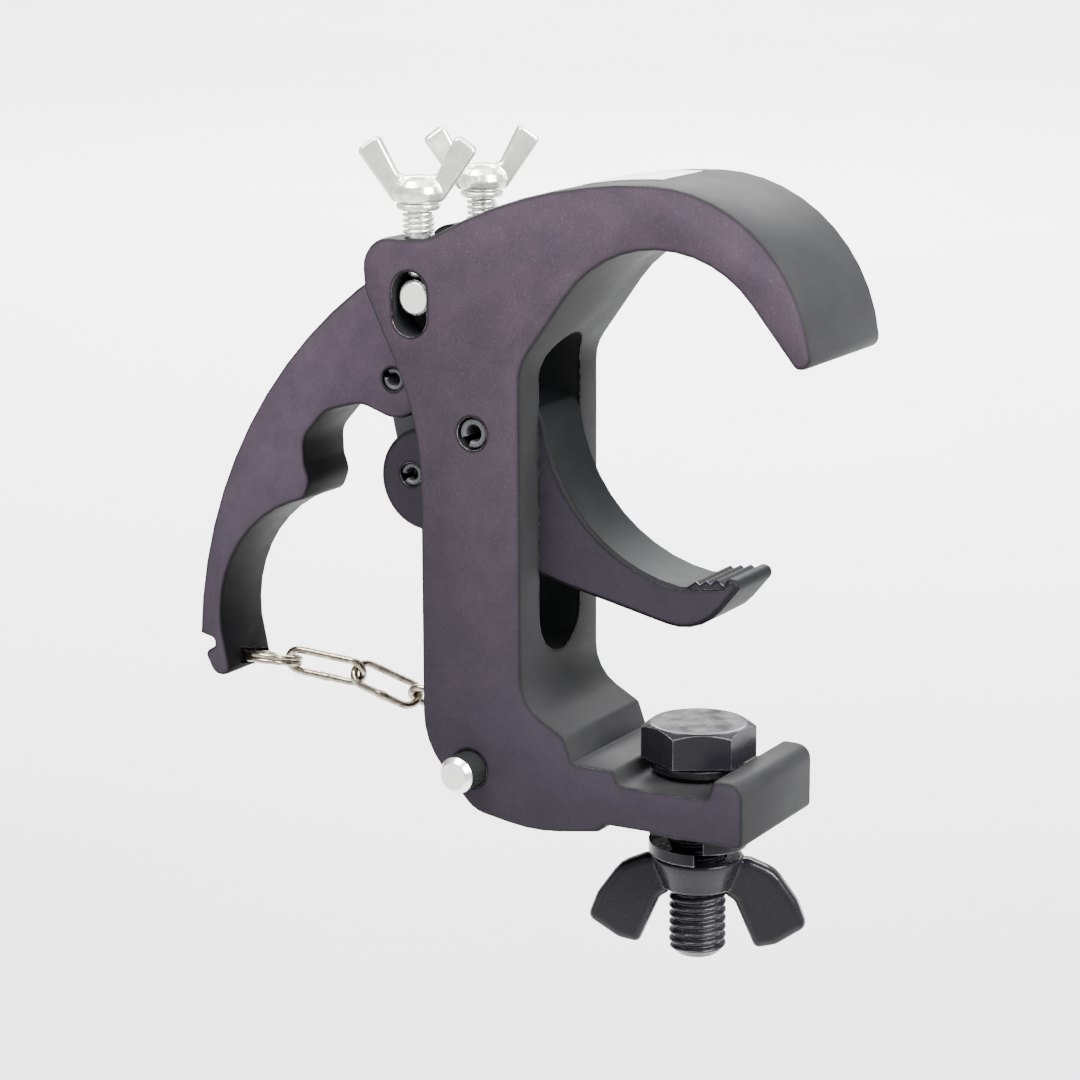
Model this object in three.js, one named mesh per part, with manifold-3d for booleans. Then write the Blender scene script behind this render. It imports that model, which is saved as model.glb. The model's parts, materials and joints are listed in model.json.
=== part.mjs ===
// Quick-rig pipe clamp: a hook body for a 50 mm tube, a lever that closes a swinging jaw through
// a toggle link, two wing screws that set the grip, and an M10 bolt for the lamp's yoke.
// Units are millimetres. X runs from the lever to the hook's tip, Y goes through the clamp's
// thickness, Z is up, and the origin is on the axis of the clamped tube.
import * as THREE from 'three';
import { mergeVertices } from 'three/addons/utils/BufferGeometryUtils.js';
import Module from 'manifold-3d';

const wasm = await Module();
wasm.setup();

// ---- driving dimensions ------------------------------------------------------------------
const BODY_HALF = 14;
const BODY_BEVEL = 0.8;
const BACK_X = -45.3;
const WALL_X = -25.8;
const PAD_Z = 26.3;
const HOOK = { x: -2, z: 8.6, r: 29.05 };
const HOOK_BACK = { x: -2, z: -44.95, r: 82.6 };
const SLOT_HALF = 7.3;
const WINDOW_TOP = 10.5;
const WINDOW_BOTTOM = -45;
const CAVITY_X = -35.5;
const CHEEK_Y = 10.65;

const TRUNNION = { x: -46.7, z: 16.3, r: 3.05 };
const HANDLE_LINK = { x: -54.8, z: 0.8, r: 2 };
const LINK_JAW = { x: -51.3, z: -15.5, r: 2 };
const JAW_PIVOT = { x: -34.9, z: -5.7, r: 2.5 };
const RUNNING_GAP = 0.1;
const LEVER_HALF = 6.8;
const JAW_HALF = 6.9;
const LINK_HALF = 2.3;
const LINK_SLOT_HALF = 2.6;
const LINK_FORWARD = 2.3;
const LINK_BACKWARD = 3.4;
const LINK_SLOT_R = 2.45;
const LINK_EYE_R = 4.6;

const LEVER_ARC = { x: -10.65, z: -53.2, r: 86.15 };
const GRIP_ARC = { x: -68.15, z: -45.5, r: 23.85 };
const JAW_ARC = { x: 4.5, z: 0, r: 29.9 };
const JAW_LOBE = { x: -48.4, z: -16.1, r: 9 };

const BOLT_X = 1;
const BOLT_HEAD_TOP = -54.3;
const BOLT_HEAD_H = 6.4;
const BOLT_FLATS = 17;
const BOLT_TIP = -95.3;
const THREAD_R = 4.9;
const THREAD_ROOT = 4.25;
const THREAD_PITCH = 1.5;
const LUG_BOTTOM = -71;
const SPOT_FACE_Z = -70.8;
const WASHER_H = 2.15;

const LOCK_PIN = { x: -35.9, z: -64.3, r: 3.2 };
const LINK_WIRE = 0.68;
const SPLIT_RING = { x: -86.6, y: 1.6, z: -54.6, r: 5.1, wire: 0.48, pitch: 1, tilt: 13.5 };

const SCREW_X = -46.9;
const SCREW_SHAFT_R = 1.9;
const SPRING_TOP = 30.9;
const COLLAR_BOTTOM = SPRING_TOP + 0.1;
const COLLAR_TOP = 32.15;
const SCREW_BASE = COLLAR_TOP + 0.1;

const DEG = Math.PI / 180;
const ARC_STEP = 9 * DEG;
const FACET = 0.75;

// ---- outlines ----------------------------------------------------------------------------
// An outline is a list of corners [x, z, radius] and arcs {x, z, r, from, to} (degrees).
function arcPoints(arc, step = arc.step ?? ARC_STEP) {
  const sweep = (arc.to - arc.from) * DEG;
  const fineStep = Math.min(step, FACET / Math.sqrt(arc.r));
  const count = Math.max(2, Math.ceil(Math.abs(sweep) / fineStep));
  const points = [];
  for (let i = 0; i <= count; i += 1) {
    const angle = arc.from * DEG + (sweep * i) / count;
    points.push(new THREE.Vector2(arc.x + arc.r * Math.cos(angle), arc.z + arc.r * Math.sin(angle)));
  }
  return points;
}

function roundedCorner(before, corner, after, radius) {
  const inward = before.clone().sub(corner).normalize();
  const outward = after.clone().sub(corner).normalize();
  const half = Math.acos(THREE.MathUtils.clamp(inward.dot(outward), -1, 1)) / 2;
  const reach = radius / Math.tan(half);
  const start = corner.clone().addScaledVector(inward, reach);
  const end = corner.clone().addScaledVector(outward, reach);
  const bisector = inward.clone().add(outward).normalize();
  const centre = corner.clone().addScaledVector(bisector, radius / Math.sin(half));
  const first = start.clone().sub(centre).angle();
  let turn = end.clone().sub(centre).angle() - first;
  if (turn > Math.PI) turn -= 2 * Math.PI;
  if (turn < -Math.PI) turn += 2 * Math.PI;
  return arcPoints({
    x: centre.x, z: centre.y, r: radius, from: first / DEG, to: (first + turn) / DEG,
  }, 18 * DEG);
}

function outline(items) {
  const pieces = items.map((item) => (Array.isArray(item) ? item : arcPoints(item)));
  const isArc = (piece) => piece[0] instanceof THREE.Vector2;
  const firstOf = (piece) => (isArc(piece) ? piece[0] : new THREE.Vector2(piece[0], piece[1]));
  const lastOf = (piece) => (isArc(piece) ? piece[piece.length - 1] : firstOf(piece));
  const points = [];
  pieces.forEach((piece, i) => {
    if (isArc(piece)) {
      points.push(...piece);
      return;
    }
    const before = lastOf(pieces[(i + pieces.length - 1) % pieces.length]);
    const after = firstOf(pieces[(i + 1) % pieces.length]);
    const corner = firstOf(piece);
    if (piece[2]) points.push(...roundedCorner(before, corner, after, piece[2]));
    else points.push(corner);
  });
  const distinct = points.filter((point, i) => point.distanceTo(points[(i + 1) % points.length]) > 1e-2);
  return new THREE.Shape(distinct);
}

// ---- solids ------------------------------------------------------------------------------
// A plate lies in the XZ plane and is 2 * half thick along Y, with bevelled edges.
function plate(shape, half, bevel = 0, bevelSegments = 1) {
  const geometry = new THREE.ExtrudeGeometry(shape, {
    depth: 2 * (half - bevel),
    bevelEnabled: bevel > 0,
    bevelThickness: bevel,
    bevelSize: bevel,
    bevelOffset: -bevel,
    bevelSegments,
    steps: 1,
  });
  geometry.translate(0, 0, -(half - bevel));
  return geometry.rotateX(Math.PI / 2);
}

function rodY(x, z, radius, fromY, toY, sides = 32) {
  const rod = new THREE.CylinderGeometry(radius, radius, toY - fromY, sides);
  return rod.translate(x, (fromY + toY) / 2, z);
}

function turnedY(profile, x, z, sides = 32) {
  return new THREE.LatheGeometry(profile.map(([r, y]) => new THREE.Vector2(r, y)), sides).translate(x, 0, z);
}

function turnedZ(profile, x = 0, y = 0, sides = 40) {
  const points = profile.map(([r, z]) => new THREE.Vector2(r, z));
  return new THREE.LatheGeometry(points, sides).rotateX(Math.PI / 2).translate(x, y, 0);
}

function block(x0, x1, y0, y1, z0, z1) {
  const box = new THREE.BoxGeometry(x1 - x0, y1 - y0, z1 - z0);
  return box.translate((x0 + x1) / 2, (y0 + y1) / 2, (z0 + z1) / 2);
}

function capsule(x, z, r, half, direction = Math.PI / 2) {
  const items = [
    { x: half, z: 0, r, from: -90, to: 90 },
    { x: -half, z: 0, r, from: 90, to: 270 },
  ];
  const shape = outline(items);
  const points = shape.getPoints().map((p) => p.rotateAround(new THREE.Vector2(0, 0), direction));
  points.forEach((p) => p.add(new THREE.Vector2(x, z)));
  return new THREE.Shape(points);
}

// Sweeps a closed section, given as [radial, axial] pairs, along a coil about Z. The height is
// either the whole coil's rise or a function of the turns made so far.
function helix(section, radius, turns, height, stepsPerTurn, startAngle = 0) {
  const count = Math.ceil(Math.abs(turns) * stepsPerTurn);
  const heightAt = typeof height === 'function' ? height : (turn) => (height * turn) / turns;
  const size = section.length;
  const positions = [];
  for (let i = 0; i <= count; i += 1) {
    const share = i / count;
    const angle = startAngle + share * turns * 2 * Math.PI;
    section.forEach(([radial, axial]) => {
      const r = radius + radial;
      positions.push(r * Math.cos(angle), r * Math.sin(angle), heightAt(share * turns) + axial);
    });
  }
  const faces = [];
  for (let i = 0; i < count; i += 1) {
    for (let k = 0; k < size; k += 1) {
      const a = i * size + k;
      const b = i * size + ((k + 1) % size);
      faces.push(a, b, a + size, b, b + size, a + size);
    }
  }
  const last = count * size;
  for (let k = 1; k < size - 1; k += 1) {
    faces.push(0, k + 1, k, last, last + k, last + k + 1);
  }
  const geometry = new THREE.BufferGeometry();
  geometry.setAttribute('position', new THREE.Float32BufferAttribute(positions, 3));
  geometry.setIndex(faces);
  return geometry;
}

function wireSection(radius, sides = 8) {
  return Array.from({ length: sides }, (unused, k) => {
    const angle = (-2 * Math.PI * k) / sides;
    return [radius * Math.cos(angle), radius * Math.sin(angle)];
  });
}

// A closed wire loop in the XY plane: a stadium of the given outer length and width, with a
// short thicker stretch where its ends are welded.
function wireLoop(length, width, wire, weld = 0) {
  const end = width / 2 - wire;
  const straight = length / 2 - width / 2;
  const path = [];
  for (let k = 0; k <= 8; k += 1) {
    const angle = -Math.PI / 2 + (Math.PI * k) / 8;
    path.push([straight + end * Math.cos(angle), end * Math.sin(angle), wire, Math.cos(angle), Math.sin(angle)]);
  }
  for (let k = 0; k <= 8; k += 1) {
    const angle = Math.PI / 2 + (Math.PI * k) / 8;
    path.push([-straight + end * Math.cos(angle), end * Math.sin(angle), wire, Math.cos(angle), Math.sin(angle)]);
  }
  if (weld > 0) {
    [[-1, 0], [-0.6, weld], [0.6, weld], [1, 0]].forEach(([x, extra]) => path.push([x, -end, wire + extra, 0, -1]));
  }
  const sides = 8;
  const positions = [];
  path.forEach(([x, y, radius, nx, ny]) => {
    for (let k = 0; k < sides; k += 1) {
      const angle = (2 * Math.PI * k) / sides;
      const out = radius * Math.cos(angle);
      positions.push(x + out * nx, y + out * ny, radius * Math.sin(angle));
    }
  });
  const faces = [];
  path.forEach((unused, i) => {
    const here = i * sides;
    const next = ((i + 1) % path.length) * sides;
    for (let k = 0; k < sides; k += 1) {
      const other = (k + 1) % sides;
      faces.push(here + k, next + k, here + other, here + other, next + k, next + other);
    }
  });
  const geometry = new THREE.BufferGeometry();
  geometry.setAttribute('position', new THREE.Float32BufferAttribute(positions, 3));
  geometry.setIndex(faces);
  return geometry;
}

function toManifold(geometry) {
  const bare = new THREE.BufferGeometry();
  bare.setAttribute('position', geometry.getAttribute('position'));
  if (geometry.index) bare.setIndex(geometry.index);
  const merged = mergeVertices(bare, 1e-3);
  const corners = merged.index.array;
  const triangles = [];
  for (let i = 0; i < corners.length; i += 3) {
    const [a, b, c] = [corners[i], corners[i + 1], corners[i + 2]];
    if (a !== b && b !== c && c !== a) triangles.push(a, b, c);
  }
  const mesh = new wasm.Mesh({
    numProp: 3,
    vertProperties: new Float32Array(merged.getAttribute('position').array),
    triVerts: new Uint32Array(triangles),
  });
  return new wasm.Manifold(mesh);
}

function combine(base, { add = [], cut = [] }) {
  let solid = toManifold(base);
  add.forEach((geometry) => { solid = solid.add(toManifold(geometry)); });
  cut.forEach((geometry) => { solid = solid.subtract(toManifold(geometry)); });
  const mesh = solid.getMesh();
  const result = new THREE.BufferGeometry();
  result.setAttribute('position', new THREE.Float32BufferAttribute(mesh.vertProperties, 3));
  result.setIndex(Array.from(mesh.triVerts));
  return result;
}

// ---- materials ---------------------------------------------------------------------------
const finishes = {
  coating: { color: 0x6a606b, roughness: 0.5, metalness: 0.35 },
  jaw_coating: { color: 0x46434c, roughness: 0.5, metalness: 0.35 },
  zinc: { color: 0xc4c3bd, roughness: 0.28, metalness: 1 },
  nickel: { color: 0xb5ac9c, roughness: 0.22, metalness: 1 },
  black_oxide: { color: 0x24242a, roughness: 0.25, metalness: 0.8 },
  steel_pin: { color: 0x3a3a3e, roughness: 0.35, metalness: 0.9 },
  label: { color: 0xd9d7d6, roughness: 0.6, metalness: 0 },
};

const clamp = new THREE.Group();
clamp.name = 'pipe_clamp';

function addMesh(parent, name, geometry, finish) {
  const material = new THREE.MeshStandardMaterial({ ...finishes[finish], name: `${name}_material` });
  const mesh = new THREE.Mesh(geometry, material);
  mesh.name = name;
  parent.add(mesh);
  return mesh;
}

// ---- body --------------------------------------------------------------------------------
const bodyShape = outline([
  [BACK_X, -60.8, 14],
  [-35.3, -71.8, 6],
  [-23.5, -73.9, 30],
  [-11, -72, 2],
  [-9.6, -70.6, 1],
  [-1.6, -70.6, 0],
  [-1.2, LUG_BOTTOM, 0],
  [15.8, LUG_BOTTOM, 1],
  [15.8, -59.8, 2.6],
  [10.4, -59.8, 1],
  [9.3, -63.2, 1.2],
  [-7.2, -63.2, 1],
  [-8, -60.65, 1],
  [-15.9, -60.65, 0.5],
  [-17.4, -56.4, 1.5],
  [WALL_X, -51.6, 8],
  [WALL_X, 6.3, 8],
  [-0.93, 40.7, 21],
  [24.1, 9.7, 1.1],
  [27, 9.9, 1.9],
  { ...HOOK, from: 6.7, to: 90 },
  { ...HOOK_BACK, from: 90, to: 118.6 },
  [-43.9, PAD_Z, 6],
  [-56.7, PAD_Z, 5.2],
  [-55.9, 17, 6],
  [BACK_X, -4.8, 50],
]);

const windowHalf = (WINDOW_TOP - WINDOW_BOTTOM) / 2 - SLOT_HALF;
const windowCentre = (WINDOW_TOP + WINDOW_BOTTOM) / 2;
const windowCut = plate(capsule(0, windowCentre, SLOT_HALF, windowHalf), 24);
windowCut.rotateZ(Math.PI / 2);
windowCut.translate(-41, 0, 0);

const bodyCuts = [
  windowCut,
  block(-70, CAVITY_X, -SLOT_HALF, SLOT_HALF, 0, 40),
  plate(capsule(SCREW_X, 15.35, 3.4, 2.15), 20),
  rodY(JAW_PIVOT.x, JAW_PIVOT.z, 2.85, -20, 20),
  rodY(LOCK_PIN.x, LOCK_PIN.z, 3.4, -20, 20),
  turnedZ([[0, -80], [5.3, -80], [5.3, -50], [0, -50]], BOLT_X),
  turnedZ([[0, -80], [10, -80], [10, SPOT_FACE_Z], [0, SPOT_FACE_Z]], BOLT_X),
];
[-CHEEK_Y, CHEEK_Y].forEach((y) => {
  bodyCuts.push(turnedZ([[0, 15], [2.1, 15], [2.1, 30], [0, 30]], SCREW_X, y, 20));
});
addMesh(clamp, 'body', combine(plate(bodyShape, BODY_HALF, BODY_BEVEL, 2), { cut: bodyCuts }), 'coating');

// ---- lever -------------------------------------------------------------------------------
const headAngle = 117.4;
const leverShape = outline([
  { ...LEVER_ARC, from: 177.4, to: headAngle },
  { x: TRUNNION.x, z: TRUNNION.z, r: 7.8, from: headAngle, to: -50 },
  [-47.3, 4, 3],
  { x: HANDLE_LINK.x, z: HANDLE_LINK.z, r: 6.8, from: -5, to: -115 },
  [-61.6, -4, 4],
  [-68.8, -5.9, 5],
  [-73.5, -11.2, 4],
  [-73.3, -15.8, 2],
  [-72.2, -18.8, 3],
  [-73.6, -22.2, 2],
  { ...GRIP_ARC, from: 110.5, to: 186 },
  [-90.2, -56, 1.3],
  [-93.6, -57.2, 2.2],
  [-95.9, -52.7, 1],
  [-93.7, -51.4, 0.9],
  [-93.7, -50, 0.9],
]);
// A slot in the lever's tip takes the split ring, which hangs on a thin post across the slot.
const POST_R = 0.34;
const SLOT_HALF_H = 1.4;
const inRingFrame = (geometry) => geometry.rotateX(-SPLIT_RING.tilt * DEG)
  .translate(SPLIT_RING.x, SPLIT_RING.y, SPLIT_RING.z);
const postX = -SPLIT_RING.r + SPLIT_RING.wire + POST_R + 0.05;
const tipPocket = inRingFrame(block(-6.4, 0, -4.5, 4.5, -SLOT_HALF_H, SLOT_HALF_H));
const tipPost = inRingFrame(turnedZ([
  [0, -SLOT_HALF_H - 0.2], [POST_R, -SLOT_HALF_H - 0.2], [POST_R, SLOT_HALF_H + 0.2], [0, SLOT_HALF_H + 0.2],
], postX, 0, 12));
let leverSolid = combine(plate(leverShape, LEVER_HALF, 0.7, 2), {
  cut: [
    rodY(TRUNNION.x, TRUNNION.z, TRUNNION.r + RUNNING_GAP, -20, 20),
    rodY(HANDLE_LINK.x, HANDLE_LINK.z, HANDLE_LINK.r + RUNNING_GAP, -20, 20),
    plate(capsule(HANDLE_LINK.x, HANDLE_LINK.z - 6, 7, 6), LINK_SLOT_HALF),
    tipPocket,
  ],
});
leverSolid = combine(leverSolid, { add: [tipPost] });
addMesh(clamp, 'handle', leverSolid, 'coating');

// ---- jaw ---------------------------------------------------------------------------------
const RIDGE = { x: 3.45, z: -28.25, pitch: 1.93, climb: 0.3, half: 2, depth: 1.5 };
const ridges = [0, 1, 2].map((i) => {
  const x = RIDGE.x + i * RIDGE.pitch;
  const top = RIDGE.z + i * RIDGE.climb;
  const foot = top - RIDGE.depth;
  return plate(outline([[x - RIDGE.half, foot], [x, top, 0.35], [x + RIDGE.half, foot]]), JAW_HALF - 0.3);
});
const jawShape = outline([
  [-26.2, -1.7, 1.2],
  { ...JAW_ARC, from: 188, to: 262 },
  [3, -29.5, 0],
  [8.1, -28.8, 0],
  [9.4, -27.3, 0.7],
  [12.7, -27.3, 1.25],
  [4, -37.7, 10],
  [-21, -31.9, 0],
  [-37, -27.4, 0],
  { ...JAW_LOBE, from: 270, to: 62 },
  { x: JAW_PIVOT.x, z: JAW_PIVOT.z, r: 6, from: 125, to: 72 },
]);
const jawSolid = combine(plate(jawShape, JAW_HALF, 0.6), {
  add: ridges,
  cut: [
    rodY(JAW_PIVOT.x, JAW_PIVOT.z, JAW_PIVOT.r + RUNNING_GAP, -20, 20),
    rodY(LINK_JAW.x, LINK_JAW.z, LINK_JAW.r + RUNNING_GAP, -20, 20),
    block(-60, -43.2, -LINK_SLOT_HALF, LINK_SLOT_HALF, -30, 0),
  ],
});
addMesh(clamp, 'jaw', jawSolid, 'jaw_coating');

// ---- toggle link and its pins ------------------------------------------------------------
const linkAlong = new THREE.Vector2(LINK_JAW.x - HANDLE_LINK.x, LINK_JAW.z - HANDLE_LINK.z);
const linkAngle = linkAlong.angle();
const linkLength = linkAlong.length();
const slotShift = (LINK_FORWARD - LINK_BACKWARD) / 2;
const slotHalf = (LINK_FORWARD + LINK_BACKWARD) / 2;
const alongLink = (distance) => ({
  x: HANDLE_LINK.x + distance * Math.cos(linkAngle),
  z: HANDLE_LINK.z + distance * Math.sin(linkAngle),
});
const linkCentre = alongLink((linkLength + LINK_FORWARD) / 2);
const slotCentre = alongLink(linkLength + slotShift);
const linkShape = capsule(linkCentre.x, linkCentre.z, LINK_EYE_R, (linkLength + LINK_FORWARD) / 2, linkAngle);
const linkSolid = combine(plate(linkShape, LINK_HALF, 0.3), {
  cut: [
    rodY(HANDLE_LINK.x, HANDLE_LINK.z, HANDLE_LINK.r + RUNNING_GAP, -9, 9, 24),
    plate(capsule(slotCentre.x, slotCentre.z, LINK_SLOT_R, slotHalf, linkAngle), 9),
  ],
});
addMesh(clamp, 'toggle_link', linkSolid, 'steel_pin');

function chamferedPin(pin, half, chamfer) {
  return turnedY([
    [0, -half], [pin.r - chamfer, -half], [pin.r, -half + chamfer],
    [pin.r, half - chamfer], [pin.r - chamfer, half], [0, half],
  ], pin.x, pin.z);
}
addMesh(clamp, 'trunnion_pin', chamferedPin(TRUNNION, 13, 0.5), 'zinc');

// Rolled spring pins: a C-shaped tube whose gap is given by its direction in degrees.
function springPin(pin, inner, half, gapAngle) {
  const gap = 22;
  const centre = { x: pin.x, z: pin.z, step: 15 * DEG };
  return plate(outline([
    { ...centre, r: pin.r, from: gapAngle + gap, to: gapAngle + 360 - gap },
    { ...centre, r: inner, from: gapAngle + 360 - gap, to: gapAngle + gap },
  ]), half, 0.2);
}
addMesh(clamp, 'handle_link_pin', springPin(HANDLE_LINK, 1.2, 6.5, 150), 'steel_pin');
addMesh(clamp, 'link_jaw_pin', springPin(LINK_JAW, 1.2, 6.6, 200), 'steel_pin');
addMesh(clamp, 'jaw_pivot_pin', springPin(JAW_PIVOT, 1.5, 13.6, 225), 'steel_pin');

// ---- wing screws with their springs and washers ------------------------------------------
const wingOutline = outline([
  [0.6, SCREW_BASE + 0.1, 0],
  [4.2, SCREW_BASE + 0.1, 1],
  [10.2, 41, 0.9],
  [6.6, 43.6, 0.9],
  [3.2, 36.9, 1.2],
  [0.6, 36.2, 0],
]);

function wingScrew() {
  const wing = plate(wingOutline, 1.6, 0.5, 2);
  const otherWing = wing.clone().rotateZ(Math.PI);
  const stem = turnedZ([
    [0, 19.65], [1.3, 19.65], [SCREW_SHAFT_R, 20.3], [SCREW_SHAFT_R, SCREW_BASE], [3.6, SCREW_BASE],
    [4.2, SCREW_BASE + 0.5], [4.4, 33.9], [4.1, 35.1], [3.3, 36.1], [2, 36.7], [0, 36.9],
  ], 0, 0, 32);
  return combine(stem, { add: [wing, otherWing] });
}

[['front', -CHEEK_Y, 25], ['rear', CHEEK_Y, 35]].forEach(([side, y, turn]) => {
  const set = new THREE.Group();
  set.name = `adjuster_${side}`;
  set.position.set(SCREW_X, y, 0);
  clamp.add(set);
  addMesh(set, `wing_screw_${side}`, wingScrew(), 'zinc').rotation.z = turn * DEG;
  const collar = turnedZ([
    [2.2, COLLAR_BOTTOM], [3.3, COLLAR_BOTTOM], [3.75, COLLAR_BOTTOM + 0.3],
    [3.75, COLLAR_TOP - 0.3], [3.45, COLLAR_TOP], [2.2, COLLAR_TOP], [2.2, COLLAR_BOTTOM],
  ], 0, 0, 28);
  addMesh(set, `adjuster_washer_${side}`, collar, 'zinc');
  const coil = helix(wireSection(0.3, 6), 2.45, 4, SPRING_TOP - PAD_Z - 0.8, 15);
  coil.translate(0, 0, PAD_Z + 0.4);
  addMesh(set, `adjuster_spring_${side}`, coil, 'zinc');
});

// ---- yoke bolt, washers and wing nut -----------------------------------------------------
const yokeGroup = new THREE.Group();
yokeGroup.name = 'yoke_fixing';
yokeGroup.position.x = BOLT_X;
clamp.add(yokeGroup);

const headBottom = BOLT_HEAD_TOP - BOLT_HEAD_H;
const hexCorner = BOLT_FLATS / Math.sqrt(3);
const hexHead = new THREE.CylinderGeometry(hexCorner, hexCorner, BOLT_HEAD_H, 6);
hexHead.rotateX(Math.PI / 2).translate(0, 0, BOLT_HEAD_TOP - BOLT_HEAD_H / 2);
const headCone = turnedZ([
  [0, headBottom - 1], [12, headBottom - 1], [12, BOLT_HEAD_TOP - 2.2], [8.1, BOLT_HEAD_TOP], [0, BOLT_HEAD_TOP],
], 0, 0, 48);
const chamferedHead = toManifold(hexHead).intersect(toManifold(headCone)).getMesh();
const headGeometry = new THREE.BufferGeometry();
headGeometry.setAttribute('position', new THREE.Float32BufferAttribute(chamferedHead.vertProperties, 3));
headGeometry.setIndex(Array.from(chamferedHead.triVerts));

const threadTop = -71.5;
const shank = turnedZ([
  [0, BOLT_TIP], [3.3, BOLT_TIP], [THREAD_ROOT, BOLT_TIP + 1.1], [THREAD_ROOT, threadTop],
  [THREAD_R, threadTop + 0.8], [THREAD_R, headBottom + 0.5], [0, headBottom + 0.5],
], 0, 0, 24);
const threadTurns = 11;
const crest = THREAD_R - THREAD_ROOT;
const threadSection = [[-0.2, -0.72], [-0.2, 0.72], [crest, 0.1], [crest, -0.1]];
const thread = helix(threadSection, THREAD_ROOT, threadTurns, threadTurns * THREAD_PITCH, 14);
thread.translate(0, 0, BOLT_TIP + 1.2);
addMesh(yokeGroup, 'hex_bolt', combine(shank, { add: [thread, headGeometry] }), 'black_oxide');

function flatWasher(inner, outer, top, lowerChamfer = 0.3) {
  const bottom = top - WASHER_H;
  return turnedZ([
    [inner, bottom], [outer - lowerChamfer, bottom], [outer, bottom + lowerChamfer],
    [outer, top - 0.3], [outer - 0.3, top], [inner, top], [inner, bottom],
  ], 0, 0, 48);
}
addMesh(yokeGroup, 'head_washer', flatWasher(5.3, 8.1, headBottom - 0.1, 0.8), 'black_oxide');
addMesh(yokeGroup, 'lug_washer', flatWasher(5.3, 8.5, SPOT_FACE_Z - 0.08), 'black_oxide');

const lockRise = -2.1;
const lockSection = [[-1.6, -1], [-1.6, 1], [1.6, 1], [1.6, -1]];
const lockGap = -61 * DEG;
const lockWasher = helix(lockSection, 6.85, 0.972, lockRise, 40, lockGap + 0.05);
lockWasher.translate(0, 0, -74.4);
addMesh(yokeGroup, 'lock_washer', lockWasher, 'black_oxide');

const NUT_TOP = -77.75;
const nutWing = plate(outline([
  [3, -78.5, 0],
  [8.8, -78, 2],
  [13.4, -79.9, 5],
  [17.3, -85.4, 6],
  [18.9, -89.7, 1.5],
  [13.6, -93.2, 3],
  [10, -94, 1.2],
  [6.4, -85.6, 1.4],
  [3, -83.4, 0],
]), 1.9, 1.1, 2);
const nutHub = turnedZ([
  [0, -83.7], [5.4, -83.7], [6.1, -83.3], [6.6, -81.8], [7.6, -79.2], [7.9, NUT_TOP - 0.4],
  [7.6, NUT_TOP], [0, NUT_TOP],
], 0, 0, 40);
const nutBore = turnedZ([[0, -95], [5.05, -95], [5.05, -70], [0, -70]], 0, 0, 36);
const wingNut = combine(nutHub, { add: [nutWing, nutWing.clone().rotateZ(Math.PI)], cut: [nutBore] });
addMesh(yokeGroup, 'wing_nut', wingNut, 'black_oxide').rotation.z = 20 * DEG;

// ---- lock pin, its ring and the tether chain ---------------------------------------------
const TAB_Y = 17.4;
const pinProfile = turnedY([
  [0, -19.5], [2.4, -19.5], [LOCK_PIN.r, -18.5], [LOCK_PIN.r, 14.4], [4.6, 14.4],
  [4.6, 15.3], [LOCK_PIN.r, 15.3], [LOCK_PIN.r, 19.4], [2.6, 20], [0, 20],
], LOCK_PIN.x, LOCK_PIN.z);
const RING_X = -37;
const pinSolid = combine(pinProfile, {
  cut: [
    block(-45, -25, 15.5, 25, LOCK_PIN.z + 1.9, LOCK_PIN.z + 9),
    block(-45, -25, 15.5, 25, LOCK_PIN.z - 9, LOCK_PIN.z - 1.9),
    turnedZ([[0, -70], [1.15, -70], [1.15, -58], [0, -58]], RING_X, TAB_Y, 16),
  ],
});
addMesh(clamp, 'lock_pin', pinSolid, 'zinc');

const ring = addMesh(clamp, 'pin_ring', wireLoop(12.4, 12.4, 0.65), 'nickel');
ring.rotation.x = Math.PI / 2;
ring.position.set(RING_X - 5.4, TAB_Y, LOCK_PIN.z);

// Two flat coils lie on each other, joined by a short step where the first one ends.
const STEP_START = 0.92;
const coilHeight = (turn) => SPLIT_RING.pitch
  * (THREE.MathUtils.clamp((turn - STEP_START) / (1 - STEP_START), 0, 1) - 0.5);
const ringCoil = helix(wireSection(SPLIT_RING.wire, 6), SPLIT_RING.r, 1.9, coilHeight, 30, 2.2);
const splitRing = addMesh(clamp, 'split_ring', ringCoil, 'nickel');
splitRing.rotation.x = -SPLIT_RING.tilt * DEG;
splitRing.position.set(SPLIT_RING.x, SPLIT_RING.y, SPLIT_RING.z);

const chainEnds = [
  [[-84.8, 3.1, -54.5], [-70.1, 7.6, -57], 18],
  [[-72.9, 7, -56], [-61.1, 12, -61.8], -48],
  [[-63.5, 11, -60.1], [-50.2, 16.7, -63.6], 40],
];
chainEnds.forEach(([start, end, roll], i) => {
  const from = new THREE.Vector3(...start);
  const to = new THREE.Vector3(...end);
  const along = to.clone().sub(from);
  const link = addMesh(clamp, `chain_link_${i + 1}`, wireLoop(along.length(), 6, LINK_WIRE, 0.14), 'nickel');
  link.position.copy(from).addScaledVector(along, 0.5);
  link.quaternion.setFromUnitVectors(new THREE.Vector3(1, 0, 0), along.clone().normalize());
  link.rotateX((roll + 90) * DEG);
});

// ---- blank label on the hook -------------------------------------------------------------
const LABEL_GAP = 0.04;
const LABEL_H = 0.16;
const labelArc = { x: HOOK_BACK.x, z: HOOK_BACK.z };
const label = plate(outline([
  { ...labelArc, r: HOOK_BACK.r + LABEL_GAP, from: 91, to: 101.2, step: 2 * DEG },
  { ...labelArc, r: HOOK_BACK.r + LABEL_GAP + LABEL_H, from: 101.2, to: 91, step: 2 * DEG },
]), 7.35);
addMesh(clamp, 'blank_label', label, 'label').position.y = 1.25;

export default clamp;
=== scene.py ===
"""Quick-rig pipe clamp: the looks, built on the CAD frame.

Units are metres. X runs from the lever to the hook's tip, Y goes through the clamp's thickness
and Z is up. Everything is placed from the CAD nodes' own boxes and vertices.
"""
import json
import math

import bmesh
import bpy
import numpy as np
from mathutils import Matrix, Vector


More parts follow.
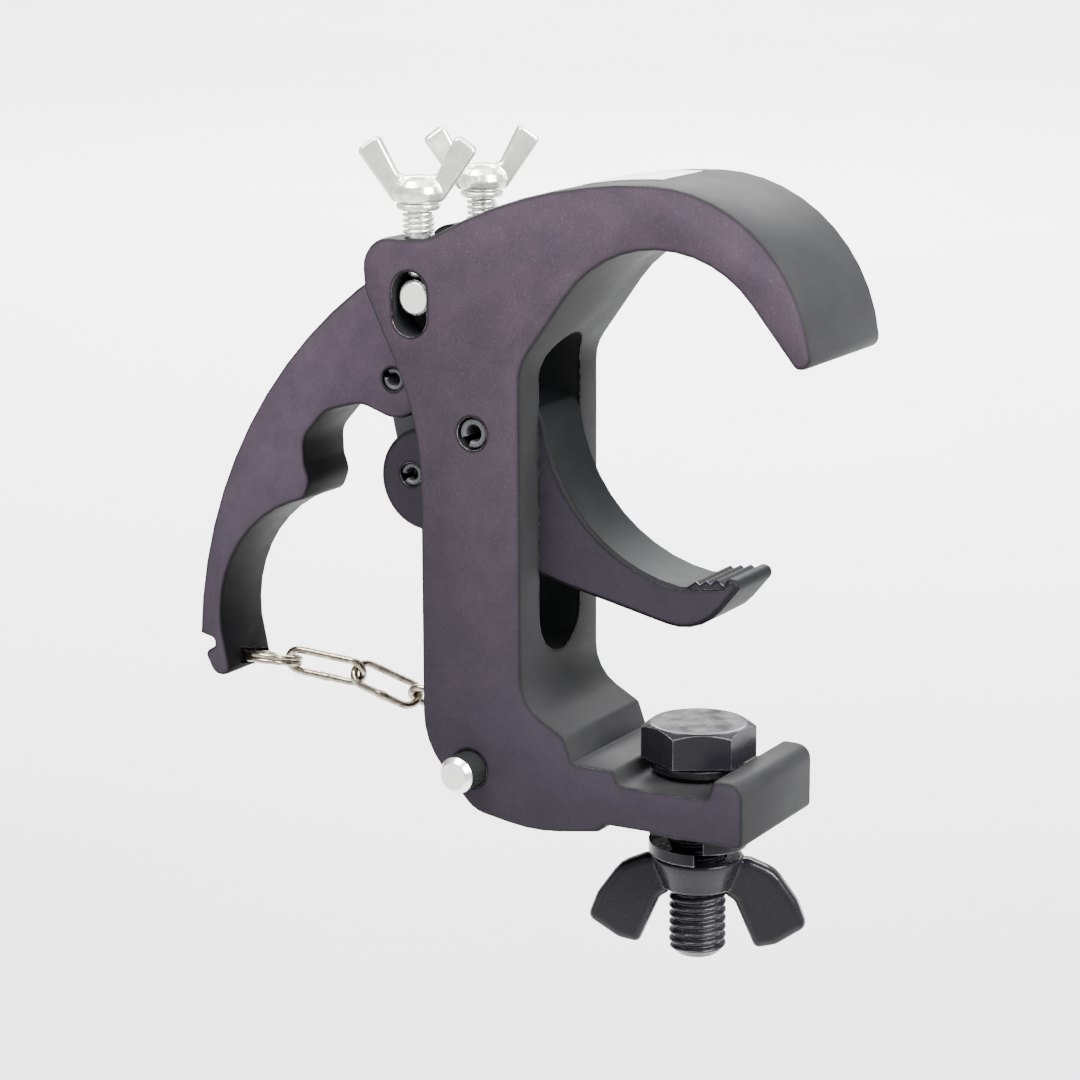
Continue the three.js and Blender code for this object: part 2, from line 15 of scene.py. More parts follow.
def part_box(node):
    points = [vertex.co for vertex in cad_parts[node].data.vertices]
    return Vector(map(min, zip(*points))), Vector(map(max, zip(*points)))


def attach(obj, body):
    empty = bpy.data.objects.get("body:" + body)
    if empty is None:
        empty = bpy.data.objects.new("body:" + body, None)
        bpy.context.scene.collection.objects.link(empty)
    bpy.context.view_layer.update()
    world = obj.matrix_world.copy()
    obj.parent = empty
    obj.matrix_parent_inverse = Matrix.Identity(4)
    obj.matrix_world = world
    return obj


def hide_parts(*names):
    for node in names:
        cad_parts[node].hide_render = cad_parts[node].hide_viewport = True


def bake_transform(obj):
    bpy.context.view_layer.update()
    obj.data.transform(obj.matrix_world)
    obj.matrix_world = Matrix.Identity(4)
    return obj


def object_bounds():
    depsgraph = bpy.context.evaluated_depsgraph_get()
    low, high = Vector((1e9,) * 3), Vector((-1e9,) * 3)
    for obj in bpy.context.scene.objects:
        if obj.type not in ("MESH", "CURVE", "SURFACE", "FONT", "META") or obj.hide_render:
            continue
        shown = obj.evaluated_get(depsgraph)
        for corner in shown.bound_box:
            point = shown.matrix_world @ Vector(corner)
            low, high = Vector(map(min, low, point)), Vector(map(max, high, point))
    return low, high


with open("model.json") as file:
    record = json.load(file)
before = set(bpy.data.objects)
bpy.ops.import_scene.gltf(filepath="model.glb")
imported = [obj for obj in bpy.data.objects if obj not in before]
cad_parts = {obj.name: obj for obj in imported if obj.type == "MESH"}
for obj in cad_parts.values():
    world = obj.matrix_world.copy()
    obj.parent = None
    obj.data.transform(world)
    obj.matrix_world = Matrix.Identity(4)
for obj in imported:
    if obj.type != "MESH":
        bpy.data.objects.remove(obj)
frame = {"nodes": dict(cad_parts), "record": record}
CAD_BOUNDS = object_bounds()
NODES = frame["nodes"]
MM = 0.001

# ---- camera ------------------------------------------------------------------------------
CAMERA_PLACE = (0.22986, -0.46631, 0.09393)
CAMERA_AZIMUTH = 29.10
CAMERA_ELEVATION = 12.68
CAMERA_ROLL = -0.187
CAMERA_LENS = 106.03
SENSOR_WIDTH = 36.0

# ---- sizes of the pieces modelled here ---------------------------------------------------
THREAD_PITCH = 1.5 * MM
THREAD_ROOT = 4.2 * MM
THREAD_CREST = 4.9 * MM
THREAD_LENGTH = 24 * MM
THREAD_FLANKS = 0.88
THREAD_FLATTEN = 1.25
THREAD_ROUNDING = 0.85
THREAD_ROW = 0.1 * MM
TIP_CONE_DEPTH = 0.75 * MM
TIP_CONE_SLOPE = 1.1
TIP_FLAT_R = 0.4 * MM
BOLT_STEPS = 144
HEAD_HEIGHT = 6.4 * MM
HEAD_EDGE = 0.25 * MM
HEAD_CHAMFER_R = 8.1 * MM
HEAD_CHAMFER_SLOPE = 0.55
BOLT_X = 1.0 * MM
RING_WIRE = 0.46 * MM
RING_STEP_START = 0.92
RING_TURNS = 1.9
RING_START = 2.2
RING_STEPS = 170
LINK_WIRE = 0.7 * MM
LINK_SIDE_STEPS = 28
LINK_BEND_STEPS = 20
PIN_RING_WIRE = 0.65 * MM
WELD_BULGE = 0.16 * MM
WELD_LENGTH = 0.75 * MM
WELD_GROOVE = 0.16 * MM
SPRING_WIRE = 0.3 * MM
SPRING_TURNS = 4.0
SCREW_VOXEL = 0.16 * MM
NUT_VOXEL = SCREW_VOXEL * 1.15
CAST_PASSES = 5
WELD_GAP = 0.002 * MM
# The sharpest turns that still shade as smooth, in degrees.
CAD_CORNER = 29
COIL_CORNER = 60
BOLT_CORNER = 38

# ---- surface detail ----------------------------------------------------------------------
BEVEL_SAMPLES = 8
GRAIN_DEPTH = 0.05 * MM
POLISH_DEPTH = 0.02 * MM
RIM_WIDTH = 1.3 * MM
RUB_WIDTH = 0.25 * MM
SKIN_FADE = 0.2 * MM
# Heights over which the flat faces turn darker and bluer towards the foot: painted shade.
PAINTED_SHADE_LOW = -60 * MM
PAINTED_SHADE_HIGH = 20 * MM

# ---- stage -------------------------------------------------------------------------------
FLOOR_DROP = 0.25
FLOOR_REACH = 16.0
WORLD_STRENGTH = 0.7
# Name, place, target, size in metres, and power in watts.
LIGHTS = [
    ("key", (-0.10, -0.18, 0.30), (-0.02, -0.01, 0.03), (0.26, 0.2), 3.8),
    ("side", (0.26, -0.06, 0.15), (0.04, 0.0, 0.01), (0.22, 0.22), 5.5),
    ("front", (-0.43, -0.77, -0.10), (0.0, 0.0, 0.02), (0.6, 0.45), 1.0),
    ("top", (0.05, 0.05, 0.6), (0.0, 0.0, 0.0), (0.7, 0.5), 4.0),
    ("backdrop_near", (-0.6, 1.3, 1.0), (-0.65, 1.4, -0.35), (1.6, 0.9), 60.0),
    ("backdrop_far", (-1.5, 2.9, 1.7), (-1.7, 3.3, -0.35), (3.0, 2.0), 300.0),
    ("backdrop_end", (-3.6, 6.6, 3.2), (-4.0, 7.6, -0.35), (6.0, 4.0), 900.0),
]


def srgb(red, green, blue):
    """Linear colour from 0-255 sRGB values."""
    def linear(value):
        value /= 255.0
        return value / 12.92 if value <= 0.04045 else ((value + 0.055) / 1.055) ** 2.4
    return (linear(red), linear(green), linear(blue), 1.0)


# Near-black colour painted along the edges: a painted dark reflection of the rounded edges.
PAINTED_RIM_REFLECTION = srgb(13, 12, 15)


# ---- materials ---------------------------------------------------------------------------
class Graph:
    """One material's node tree, with a short name for each kind of node it needs."""

    def __init__(self, name):
        self.material = bpy.data.materials.new(name)
        self.material.use_nodes = True
        self.tree = self.material.node_tree
        self.shader = self.tree.nodes["Principled BSDF"]
        self.coords = self.tree.nodes.new("ShaderNodeTexCoord").outputs["Object"]

    def node(self, kind, inputs=None, **settings):
        made = self.tree.nodes.new(kind)
        for key, value in settings.items():
            setattr(made, key, value)
        for key, value in (inputs or {}).items():
            self.feed(made.inputs[key], value)
        return made

    def feed(self, socket, value):
        if isinstance(value, bpy.types.NodeSocket):
            self.tree.links.new(value, socket)
        else:
            socket.default_value = value

    def noise(self, scale, detail, roughness, stretch=None):
        vector = self.coords
        if stretch:
            vector = self.node("ShaderNodeMapping", {"Vector": vector, "Scale": stretch}).outputs[0]
        inputs = {"Vector": vector, "Scale": scale, "Detail": detail, "Roughness": roughness}
        return self.node("ShaderNodeTexNoise", inputs).outputs["Fac"]

    def between(self, value, low, high, out_low=0.0, out_high=1.0):
        """Maps low to high onto out_low to out_high, and holds the ends outside them."""
        inputs = {
            "Value": value,
            "From Min": low,
            "From Max": high,
            "To Min": out_low,
            "To Max": out_high,
        }
        return self.node("ShaderNodeMapRange", inputs, clamp=True).outputs["Result"]

    def multiply(self, a, b):
        return self.node("ShaderNodeMath", {0: a, 1: b}, operation="MULTIPLY").outputs[0]

    def blend(self, share, first, second):
        """A plain number between two others."""
        inputs = {0: share, 2: first, 3: second}
        return self.node("ShaderNodeMix", inputs, data_type="FLOAT").outputs[0]

    def mix(self, share, first, second):
        """A colour between two others."""
        inputs = {0: share, 6: first, 7: second}
        return self.node("ShaderNodeMix", inputs, data_type="RGBA").outputs[2]

    def rounded_normal(self, radius):
        bevel = self.node("ShaderNodeBevel", {"Radius": radius}, samples=BEVEL_SAMPLES)
        return bevel.outputs["Normal"]

    def edge_mask(self, radius, low, high):
        """1 on outside and inside edges, 0 on open faces."""
        rounded = self.rounded_normal(radius)
        plain = self.node("ShaderNodeNewGeometry").outputs["Normal"]
        inputs = {0: rounded, 1: plain}
        facing = self.node("ShaderNodeVectorMath", inputs, operation="DOT_PRODUCT").outputs["Value"]
        return self.between(facing, 1.0 - low, 1.0 - high)

    def part_of(self, vector, letter):
        return self.node("ShaderNodeSeparateXYZ", {0: vector}).outputs[letter]

    def size_of(self, value):
        return self.node("ShaderNodeMath", {0: value}, operation="ABSOLUTE").outputs[0]

    def height(self):
        return self.part_of(self.coords, "Z")

    def outer_mask(self, skin):
        """1 further than skin from the part's middle plane along Y, 0 nearer to it."""
        across = self.size_of(self.part_of(self.coords, "Y"))
        return self.between(across, skin - SKIN_FADE, skin)

    def flat_face_mask(self, low, high):
        """1 on faces that look along the part's own Y, 0 on all others."""
        normal = self.tree.nodes.new("ShaderNodeTexCoord").outputs["Normal"]
        return self.between(self.size_of(self.part_of(normal, "Y")), low, high)

    def finish(self, color, roughness, relief, edge_radius, constants):
        """Wires the shader: relief is a height, its strength and its depth in metres."""
        height, strength, depth = relief
        normal = self.rounded_normal(edge_radius)
        inputs = {"Height": height, "Strength": strength, "Distance": depth, "Normal": normal}
        bump = self.node("ShaderNodeBump", inputs).outputs["Normal"]
        self.feed(self.shader.inputs["Base Color"], color)
        self.feed(self.shader.inputs["Roughness"], roughness)
        self.feed(self.shader.inputs["Normal"], bump)
        for key, value in constants.items():
            self.shader.inputs[key].default_value = value
        return self.material


def anodised(name, colours, metallic, wear, skin):
    """Anodised aluminium: blasted, speckled flat faces with painted glint on their grains, and
    smoother, darker machined sides.

    The flat faces look along Y and lie further than skin from the middle plane. Inner walls nearer
    to it, such as those inside the window, take the darker side colour, which is partly painted
    shade in the recess.
    Towards the foot the flat faces turn darker and bluer: painted shade. The edges carry a
    near-black painted dark reflection, and are rubbed bright in places.
    """
    graph = Graph(name)
    clouds = graph.noise(160.0, 5.0, 0.6)
    mottle = graph.noise(1500.0, 4.0, 0.62, stretch=(1.0, 1.0, 0.4))
    grains = graph.noise(4600.0, 2.0, 0.7)
    # Inner walls nearer the middle plane, such as those inside the window, take the darker side
    # colour; this is partly painted shade in the recess.
    on_face = graph.multiply(graph.flat_face_mask(0.90, 0.985), graph.outer_mask(skin))

    cloud_share = graph.between(clouds, 0.36, 0.66)
    mottle_share = graph.between(mottle, 0.42, 0.66, 0.0, 0.30)
    # Lighter flecks on the grains: speckle tone with painted glint.
    fleck_glint_share = graph.between(grains, 0.58, 0.78, 0.0, 0.42)
    # Painted shade: the flat faces turn darker and bluer towards the foot.
    painted_shade_share = graph.between(graph.height(), PAINTED_SHADE_LOW, PAINTED_SHADE_HIGH, 0.65, 0.0)
    blasted = graph.mix(cloud_share, colours["face_shade"], colours["face"])
    blasted = graph.mix(mottle_share, blasted, colours["face_shade"])
    blasted = graph.mix(fleck_glint_share, blasted, colours["fleck_and_glint"])
    blasted = graph.mix(painted_shade_share, blasted, colours["face_painted_shade"])
    machined = graph.mix(cloud_share, colours["side_shade"], colours["side"])
    colour = graph.mix(on_face, machined, blasted)
    # Painted dark reflection: a near-black band along every edge.
    painted_rim_mask = graph.edge_mask(RIM_WIDTH, 0.01, 0.09)
    colour = graph.mix(graph.multiply(painted_rim_mask, 0.9), colour, PAINTED_RIM_REFLECTION)

    patches = graph.between(graph.noise(300.0, 5.0, 0.65), 0.44, 0.60)
    edges = graph.multiply(graph.edge_mask(RUB_WIDTH, 0.10, 0.28), patches)
    colour = graph.mix(graph.multiply(edges, wear), colour, colours["worn"])
    rough_face = graph.between(mottle, 0.3, 0.7, 0.50, 0.62)
    rough_side = graph.between(clouds, 0.3, 0.7, 0.48, 0.56)
    roughness = graph.blend(on_face, rough_side, rough_face)
    relief = graph.multiply(graph.blend(on_face, 0.15, 1.0), graph.blend(0.5, mottle, grains))
    gloss = {"Metallic": metallic, "Specular IOR Level": 0.05}
    return graph.finish(colour, roughness, (relief, 0.6, GRAIN_DEPTH), 0.35 * MM, gloss)


def plated(name, base, dark, roughness_range, dirt_scale, metallic, edge_radius):
    """Plated steel: clouded, slightly dirty plating with fine drawing marks."""
    graph = Graph(name)
    clouds = graph.noise(dirt_scale, 4.0, 0.6)
    fine = graph.noise(3600.0, 3.0, 0.65)
    colour = graph.mix(graph.between(clouds, 0.36, 0.66), dark, base)
    low, high = roughness_range
    roughness = graph.between(fine, 0.3, 0.7, low, high)
    relief = (fine, 0.25, POLISH_DEPTH)
    return graph.finish(colour, roughness, relief, edge_radius, {"Metallic": metallic})


def ground_pin(name, end, side):
    """A ground steel pin lying along Y: bright faced ends on a dark side."""
    graph = Graph(name)
    clouds = graph.noise(500.0, 4.0, 0.6)
    fine = graph.noise(3600.0, 3.0, 0.65)
    on_end = graph.flat_face_mask(0.25, 0.6)
    bright = graph.multiply(on_end, graph.between(clouds, 0.2, 0.5, 0.85, 1.0))
    colour = graph.mix(bright, side, end)
    roughness = graph.between(fine, 0.3, 0.7, 0.18, 0.32)
    relief = (fine, 0.2, POLISH_DEPTH)
    return graph.finish(colour, roughness, relief, 0.25 * MM, {"Metallic": 0.9})


def blackened(name, base, rubbed, roughness_range, wear):
    """Oil-blackened steel with lighter rubbed edges."""
    graph = Graph(name)
    clouds = graph.noise(260.0, 4.0, 0.6)
    fine = graph.noise(4200.0, 3.0, 0.6)
    patches = graph.between(clouds, 0.3, 0.6)
    edges = graph.multiply(graph.edge_mask(0.4 * MM, 0.03, 0.25), patches)
    colour = graph.mix(graph.multiply(edges, wear), base, rubbed)
    low, high = roughness_range
    roughness = graph.between(clouds, 0.3, 0.7, low, high)
    relief = (fine, 0.25, POLISH_DEPTH)
    gloss = {"Metallic": 0.0, "Specular IOR Level": 0.24}
    return graph.finish(colour, roughness, relief, 0.3 * MM, gloss)


def paper_film(name, base, shade):
    """A pale printed film with the faint mottle of its adhesive."""
    graph = Graph(name)
    mottle = graph.noise(900.0, 3.0, 0.6)
    colour = graph.mix(graph.between(mottle, 0.35, 0.7), shade, base)
    roughness = graph.between(mottle, 0.3, 0.7, 0.5, 0.62)
    return graph.finish(colour, roughness, (mottle, 0.2, POLISH_DEPTH), 0.1 * MM, {})


# In each coat below, the third colour is the painted shade that the flat faces take towards the
# foot.
BODY_LOOK = anodised("anodised_body", {
    "face": srgb(60, 51, 59),
    "face_shade": srgb(52, 45, 53),
    "face_painted_shade": srgb(38, 37, 44),
    "side": srgb(36, 36, 37),
    "side_shade": srgb(33, 33, 34),
    # The lighter fleck colour in each coat: speckle tone with painted glint on the grains.
    "fleck_and_glint": srgb(98, 88, 96),
    "worn": srgb(190, 188, 190),
}, metallic=0.05, wear=0.8, skin=13 * MM)
LEVER_LOOK = anodised("anodised_lever", {
    "face": srgb(70, 59, 70),
    "face_shade": srgb(61, 52, 62),
    "face_painted_shade": srgb(46, 44, 51),
    "side": srgb(12, 12, 14),
    "side_shade": srgb(9, 9, 11),
    "fleck_and_glint": srgb(104, 94, 104),
    "worn": srgb(150, 148, 152),
}, metallic=0.05, wear=0.35, skin=6 * MM)
JAW_LOOK = anodised("anodised_jaw", {
    "face": srgb(44, 40, 47),
    "face_shade": srgb(38, 35, 41),
    "face_painted_shade": srgb(40, 38, 44),
    "side": srgb(24, 25, 26),
    "side_shade": srgb(19, 20, 21),
    "fleck_and_glint": srgb(76, 72, 80),
    "worn": srgb(205, 205, 207),
}, metallic=0.0, wear=0.9, skin=6 * MM)
ZINC_LOOK = plated(
    "zinc_plating", srgb(246, 245, 243), srgb(222, 223, 219), (0.14, 0.28), 500.0, 0.8, 0.25 * MM)
NICKEL_LOOK = plated(
    "nickel_wire", srgb(178, 170, 156), srgb(122, 113, 98), (0.14, 0.26), 700.0, 1.0, 0.1 * MM)
BLACK_LOOK = blackened("black_oxide", srgb(22, 21, 25), srgb(150, 150, 155), (0.14, 0.34), 0.9)
GROUND_LOOK = ground_pin("ground_pin", srgb(246, 245, 243), srgb(84, 88, 86))
PIN_LOOK = blackened("spring_steel", srgb(66, 66, 70), srgb(160, 160, 164), (0.28, 0.42), 0.6)
LABEL_LOOK = paper_film("blank_film", srgb(226, 224, 224), srgb(205, 203, 204))

LOOKS = {
    "dark_coat": BODY_LOOK,
    "jaw_coat": JAW_LOOK,
    "zinc": ZINC_LOOK,
    "nickel": NICKEL_LOOK,
    "black_oxide": BLACK_LOOK,
    "pin_steel": PIN_LOOK,
    "label": LABEL_LOOK,
}
OWN_LOOKS = {"handle": LEVER_LOOK, "lock_pin": GROUND_LOOK, "trunnion_pin": GROUND_LOOK}
SLOT_OF = {part["node"]: part["material_slot"] for part in frame["record"]["subparts"]}
BODY_OF = {
    node: body
    for body, nodes in frame["record"]["behaviour"]["bodies"].items()
    for node in nodes
}


def split_corners(obj, angle):
    """Keeps corners sharper than angle, in degrees, crisp under smooth shading."""
    split = obj.modifiers.new("crisp_corners", "EDGE_SPLIT")
    split.split_angle = math.radians(angle)
    split.use_edge_sharp = False


def weld_corners(obj):
    weld = obj.modifiers.new("weld", "WELD")
    weld.merge_threshold = WELD_GAP


def dress_cad_node(name):
    """Gives a CAD node its look, with smooth arcs and crisp corners."""
    obj = NODES[name]
    look = OWN_LOOKS.get(name) or LOOKS[SLOT_OF[name]]
    obj.data.materials.clear()
    obj.data.materials.append(look)
    for polygon in obj.data.polygons:
        polygon.use_smooth = True
    weld_corners(obj)
    split_corners(obj, CAD_CORNER)


for node_name in NODES:
    dress_cad_node(node_name)


# ---- helpers for new pieces --------------------------------------------------------------
def box_of(node):
    low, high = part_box(node)
    return Vector(low), Vector(high)


def new_piece(name, vertices, faces, node, rides=True):
    """A smooth-shaded mesh that stands for a CAD node and takes its look and its body."""
    mesh = bpy.data.meshes.new(name)
    mesh.from_pydata([tuple(vertex) for vertex in vertices], [], faces)
    mesh.validate()
    mesh.update()
    obj = bpy.data.objects.new(name, mesh)
    bpy.context.collection.objects.link(obj)
    for polygon in mesh.polygons:
        polygon.use_smooth = True
    mesh.materials.append(LOOKS[SLOT_OF[node]])
    face_outward(obj)
    if rides:
        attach(obj, BODY_OF[node])
    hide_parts(node)
    return obj


def face_outward(obj):
    work = bmesh.new()
    work.from_mesh(obj.data)
    bmesh.ops.recalc_face_normals(work, faces=work.faces)
    work.to_mesh(obj.data)
    work.free()


def tube(rings, closed):
    """Faces for a list of equal rings of vertices, joined in order."""
    count = len(rings)
    size = len(rings[0])
    vertices = [vertex for ring in rings for vertex in ring]
    faces = []
    for i in range(count if closed else count - 1):
        here = i * size
        there = ((i + 1) % count) * size
        for k in range(size):
            after = (k + 1) % size
            faces.append((here + k, there + k, there + after, here + after))
    if not closed:
        faces.append(tuple(range(size)))
        faces.append(tuple(range((count - 1) * size, count * size))[::-1])
    return vertices, faces


def helix_rings(centre, radius, bottom, rise, turns, section, steps):
    """Rings of a section, as (radial, axial) pairs, swept along a helix about Z."""
    rings = []
    for i in range(steps + 1):
        share = i / steps
        angle = share * turns * 2 * math.pi
        height = bottom + share * rise
        rings.append([
            Vector((
                centre.x + (radius + radial) * math.cos(angle),
                centre.y + (radius + radial) * math.sin(angle),
                height + axial,
            ))
            for radial, axial in section
        ])
    return rings


def round_section(radius, sides):
    angles = [2 * math.pi * k / sides for k in range(sides)]
    return [(radius * math.cos(a), radius * math.sin(a)) for a in angles]


# ---- chain links -------------------------------------------------------------------------
def principal_frame(node):
    """Centre and axes of a node's own vertices, longest first, with their half extents."""
    points = np.array([vertex.co for vertex in NODES[node].data.vertices], float)
    low, high = points.min(axis=0), points.max(axis=0)
    centre = (low + high) / 2
    _, _, axes = np.linalg.svd(points - points.mean(axis=0), full_matrices=False)
    spread = (points - centre) @ axes.T
    middle = (spread.min(axis=0) + spread.max(axis=0)) / 2
    centre = centre + middle @ axes
    half = (spread.max(axis=0) - spread.min(axis=0)) / 2
    return Vector(centre), [Vector(axis) for axis in axes], half


def build_link(node, wire, weld):
    """An oval wire link, with the swelling where its ends are butt-welded."""
    centre, (along, across, _), half = principal_frame(node)
    if across.z > 0:
        across = -across
    flat = along.cross(across)
    bend = half[1] - wire
    straight = half[0] - half[1]
    route = []
    for end in (1, -1):
        for k in range(LINK_BEND_STEPS):
            angle = -end * math.pi / 2 + math.pi * k / LINK_BEND_STEPS
            out_x, out_y = math.cos(angle), math.sin(angle)
            route.append((end * straight + bend * out_x, bend * out_y, out_x, out_y))
        for k in range(LINK_SIDE_STEPS):
            x = end * (straight - 2 * straight * k / LINK_SIDE_STEPS)
            route.append((x, end * bend, 0.0, end))
    rings = []
    for x, y, out_x, out_y in route:
        on_weld = math.exp(-(x / WELD_LENGTH) ** 2) if y > 0 and abs(out_x) < 0.01 else 0.0
        groove = math.exp(-(x / WELD_GROOVE) ** 2) if on_weld else 0.0
        radius = wire + weld * on_weld - 0.5 * weld * groove
        rings.append([
            centre + along * (x + radial * out_x) + across * (y + radial * out_y) + flat * axial
            for radial, axial in round_section(radius, 18)
        ])
    vertices, faces = tube(rings, closed=True)
    return new_piece(f"{node}_wire", vertices, faces, node)


for number in (1, 2, 3):
    build_link(f"chain_link_{number}", LINK_WIRE, WELD_BULGE)
build_link("pin_ring", PIN_RING_WIRE, 0.0)


# ---- split ring and springs --------------------------------------------------------------
def build_split_ring(node, wire):
    """Two flat coils of wire lying on each other, joined by a short step."""
    centre, axes, half = principal_frame(node)
    normal = axes[2] if axes[2].z > 0 else -axes[2]
    across = normal.cross(Vector((1.0, 0.0, 0.0))).normalized()
    along = across.cross(normal)
    radius = half[0] - wire
    pitch = 2 * (half[2] - wire)
    rings = []
    for i in range(RING_STEPS + 1):
        turn = RING_TURNS * i / RING_STEPS
        angle = RING_START + 2 * math.pi * turn
        climb = min(max((turn - RING_STEP_START) / (1 - RING_STEP_START), 0.0), 1.0)
        outward = along * math.cos(angle) + across * math.sin(angle)
        middle = centre + outward * radius + normal * pitch * (climb - 0.5)
        rings.append([middle + outward * r + normal * h for r, h in round_section(wire, 16)])
    vertices, faces = tube(rings, closed=False)
    obj = new_piece(f"{node}_wire", vertices, faces, node)
    split_corners(obj, COIL_CORNER)


def build_spring(node, wire, turns):
    """A coil spring between the body and a washer, built where its CAD node stands."""
    low, high = box_of(node)
    centre = (low + high) / 2
    radius = (high.x - low.x) / 2 - wire
    rise = high.z - low.z - 2 * wire
    section = round_section(wire, 12)
    rings = helix_rings(centre, radius, low.z + wire, rise, turns, section, int(48 * turns))
    vertices, faces = tube(rings, closed=False)
    obj = new_piece(f"{node}_wire", vertices, faces, node, rides=False)
    split_corners(obj, COIL_CORNER)
    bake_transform(obj)


build_split_ring("split_ring", RING_WIRE)
for side in ("front", "rear"):
    build_spring(f"adjuster_spring_{side}", SPRING_WIRE, SPRING_TURNS)


# ---- yoke bolt ---------------------------------------------------------------------------
def thread_radius(angle, height, tip):
    """Radius of a right-hand V thread with flat crests, chamfered at the bolt's tip."""
    phase = (height / THREAD_PITCH - angle / (2 * math.pi)) % 1.0
    ridge = max(0.0, 1.0 - abs(phase - 0.5) / (THREAD_FLANKS / 2))
    ridge = min(ridge * THREAD_FLATTEN, 1.0)
    radius = THREAD_ROOT + (THREAD_CREST - THREAD_ROOT) * ridge ** THREAD_ROUNDING
    cone = THREAD_ROOT - TIP_CONE_DEPTH + (height - tip) * TIP_CONE_SLOPE
    return min(radius, cone)


def build_bolt(node):
    """The hexagon bolt as one stack of rings, from its tip to the middle of its head."""
    low, high = box_of(node)
    centre = Vector((BOLT_X, (low.y + high.y) / 2, 0.0))
    across_corners = (high.y - low.y) / 2
    flat_distance = across_corners * math.cos(math.pi / 6)
    angles = [2 * math.pi * k / BOLT_STEPS for k in range(BOLT_STEPS)]
    tip, top = low.z, high.z
    under_head = top - HEAD_HEIGHT

    def hexagon(angle):
        """Radius of a hexagon with corners on Y."""
        return flat_distance / math.cos((angle + math.pi / 6) % (math.pi / 3) - math.pi / 6)

    def level_ring(height, radius_of):
        return [
            centre + Vector((radius_of(a) * math.cos(a), radius_of(a) * math.sin(a), height))
            for a in angles
        ]

    def round_ring(height, radius):
        return level_ring(height, lambda angle: radius)

    def chamfer_ring(share):
        """A ring on the head's chamfer: share 1 at the hexagon, 0 at the top face."""
        ring = []
        for a in angles:
            past = (hexagon(a) - HEAD_CHAMFER_R) * share
            radius = HEAD_CHAMFER_R + past
            height = top - max(0.0, past) * HEAD_CHAMFER_SLOPE
            ring.append(centre + Vector((radius * math.cos(a), radius * math.sin(a), height)))
        return ring

    rings = [round_ring(tip, TIP_FLAT_R)]
    thread_rows = int(THREAD_LENGTH / THREAD_ROW)
    for row in range(thread_rows + 1):
        height = tip + 0.02 * MM + THREAD_LENGTH * row / thread_rows
        rings.append(level_ring(height, lambda a, h=height: thread_radius(a, h, tip)))
    rings.append(round_ring(tip + THREAD_LENGTH + 0.4 * MM, THREAD_CREST))
    rings.append(round_ring(under_head, THREAD_CREST))
    rings.append(round_ring(under_head, HEAD_CHAMFER_R))
    rings.append(level_ring(under_head + HEAD_EDGE, hexagon))
    for share in (1.0, 0.66, 0.33, 0.0):
        rings.append(chamfer_ring(share))
    rings.append(round_ring(top, HEAD_CHAMFER_R - 0.2 * MM))
    rings.append(round_ring(top, 1.0 * MM))
    vertices, faces = tube(rings, closed=False)
    obj = new_piece("yoke_bolt", vertices, faces, node)
    split_corners(obj, BOLT_CORNER)


build_bolt("hex_bolt")


# ---- cast wings --------------------------------------------------------------------------
def build_cast(node, voxel):
    """A smooth casting made from the CAD solid: remeshed finely, then relaxed a little."""
    source = NODES[node].data
    mesh = bpy.data.meshes.new(f"{node}_cast")
    corners = [tuple(v.co) for v in source.vertices]
    mesh.from_pydata(corners, [], [tuple(p.vertices) for p in source.polygons])
    obj = bpy.data.objects.new(f"{node}_cast", mesh)
    bpy.context.collection.objects.link(obj)
    weld_corners(obj)
    remesh = obj.modifiers.new("remesh", "REMESH")
    remesh.mode = "VOXEL"
    remesh.voxel_size = voxel
    smooth = obj.modifiers.new("relax", "SMOOTH")
    smooth.iterations = CAST_PASSES
    smooth.factor = 0.5
    bpy.context.view_layer.update()
    evaluated = obj.evaluated_get(bpy.context.evaluated_depsgraph_get())
    ready = bpy.data.meshes.new_from_object(evaluated)
    vertices = [tuple(v.co) for v in ready.vertices]
    faces = [tuple(p.vertices) for p in ready.polygons]
    bpy.data.objects.remove(obj)
    return new_piece(f"{node}_cast", vertices, faces, node)


for side in ("front", "rear"):
    build_cast(f"wing_screw_{side}", SCREW_VOXEL)
build_cast("wing_nut", NUT_VOXEL)


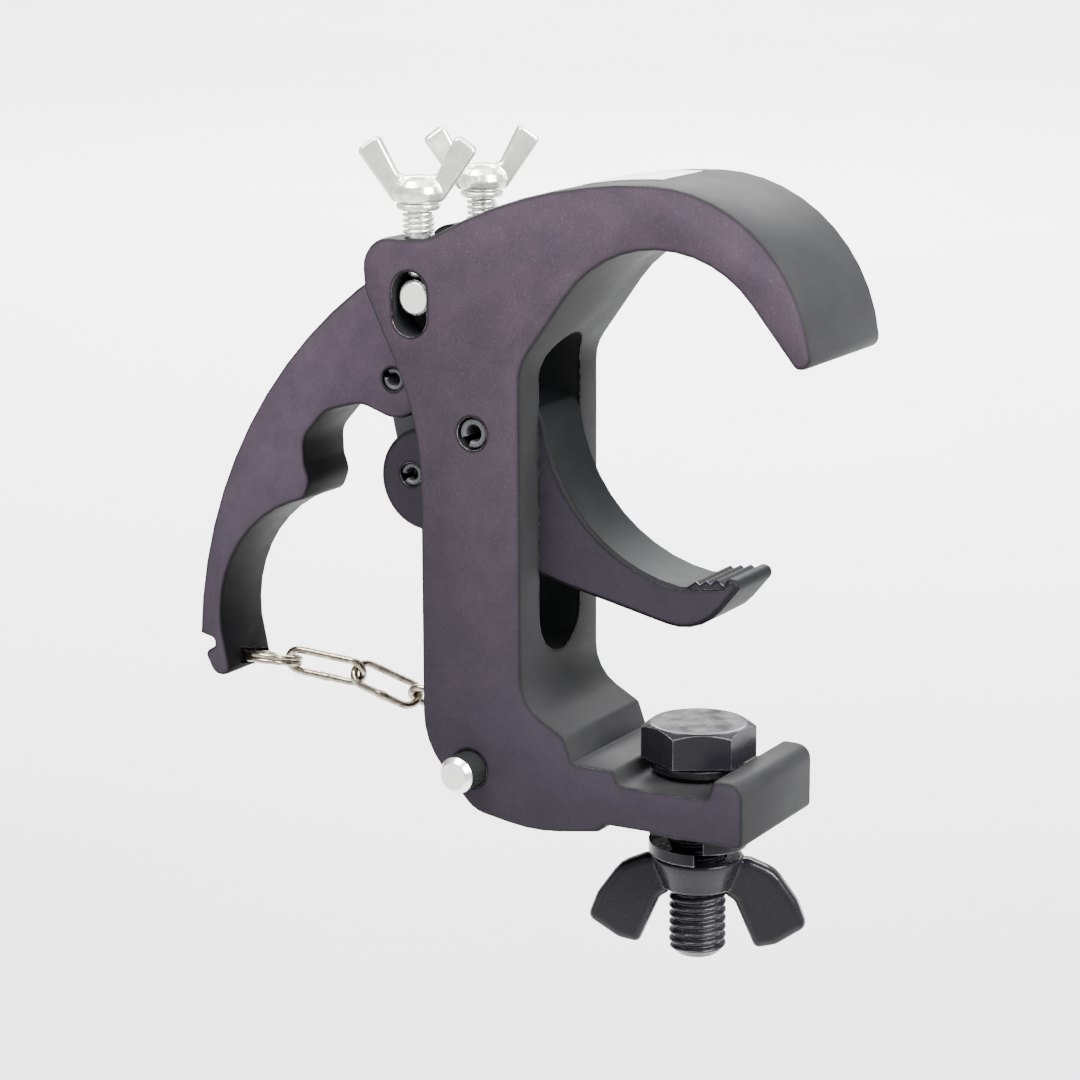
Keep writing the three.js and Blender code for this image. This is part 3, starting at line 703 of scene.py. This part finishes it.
# ---- stage, lights and camera ------------------------------------------------------------
def add_floor():
    """A plain pale floor well below the part, wide enough to fill the view."""
    low, _ = CAD_BOUNDS
    mesh = bpy.data.meshes.new("floor")
    z = low[2] - FLOOR_DROP
    ends = ((-1, -1), (1, -1), (1, 1), (-1, 1))
    corners = [(x * FLOOR_REACH, y * FLOOR_REACH, z) for x, y in ends]
    mesh.from_pydata(corners, [], [(0, 1, 2, 3)])
    floor = bpy.data.objects.new("floor", mesh)
    bpy.context.collection.objects.link(floor)
    graph = Graph("pale_floor")
    drift = graph.noise(3.0, 2.0, 0.5)
    colour = graph.mix(graph.between(drift, 0.3, 0.7), srgb(250, 250, 250), srgb(254, 254, 254))
    look = graph.finish(colour, 0.9, (drift, 0.02, 0.1 * MM), 0.01 * MM, {})
    floor.data.materials.append(look)


def add_area_light(name, place, target, size, power):
    data = bpy.data.lights.new(name, "AREA")
    data.shape = "RECTANGLE"
    data.size, data.size_y = size
    data.energy = power
    light = bpy.data.objects.new(name, data)
    light.location = place
    aim = Vector(target) - Vector(place)
    light.rotation_euler = aim.to_track_quat("-Z", "Y").to_euler()
    bpy.context.collection.objects.link(light)


def add_world():
    world = bpy.data.worlds.new("studio")
    world.use_nodes = True
    background = world.node_tree.nodes["Background"]
    background.inputs["Color"].default_value = (1.0, 1.0, 1.0, 1.0)
    background.inputs["Strength"].default_value = WORLD_STRENGTH
    bpy.context.scene.world = world


def add_camera():
    data = bpy.data.cameras.new("camera")
    data.lens = CAMERA_LENS
    data.sensor_width = SENSOR_WIDTH
    camera = bpy.data.objects.new("camera", data)
    turn = Matrix.Rotation(math.radians(CAMERA_AZIMUTH), 4, "Z")
    tilt = Matrix.Rotation(math.pi / 2 - math.radians(CAMERA_ELEVATION), 4, "X")
    roll = Matrix.Rotation(math.radians(CAMERA_ROLL), 4, "Z")
    camera.matrix_world = Matrix.Translation(CAMERA_PLACE) @ turn @ tilt @ roll
    bpy.context.collection.objects.link(camera)
    bpy.context.scene.camera = camera


add_floor()
add_world()
for light in LIGHTS:
    add_area_light(*light)
add_camera()

bpy.context.view_layer.update()
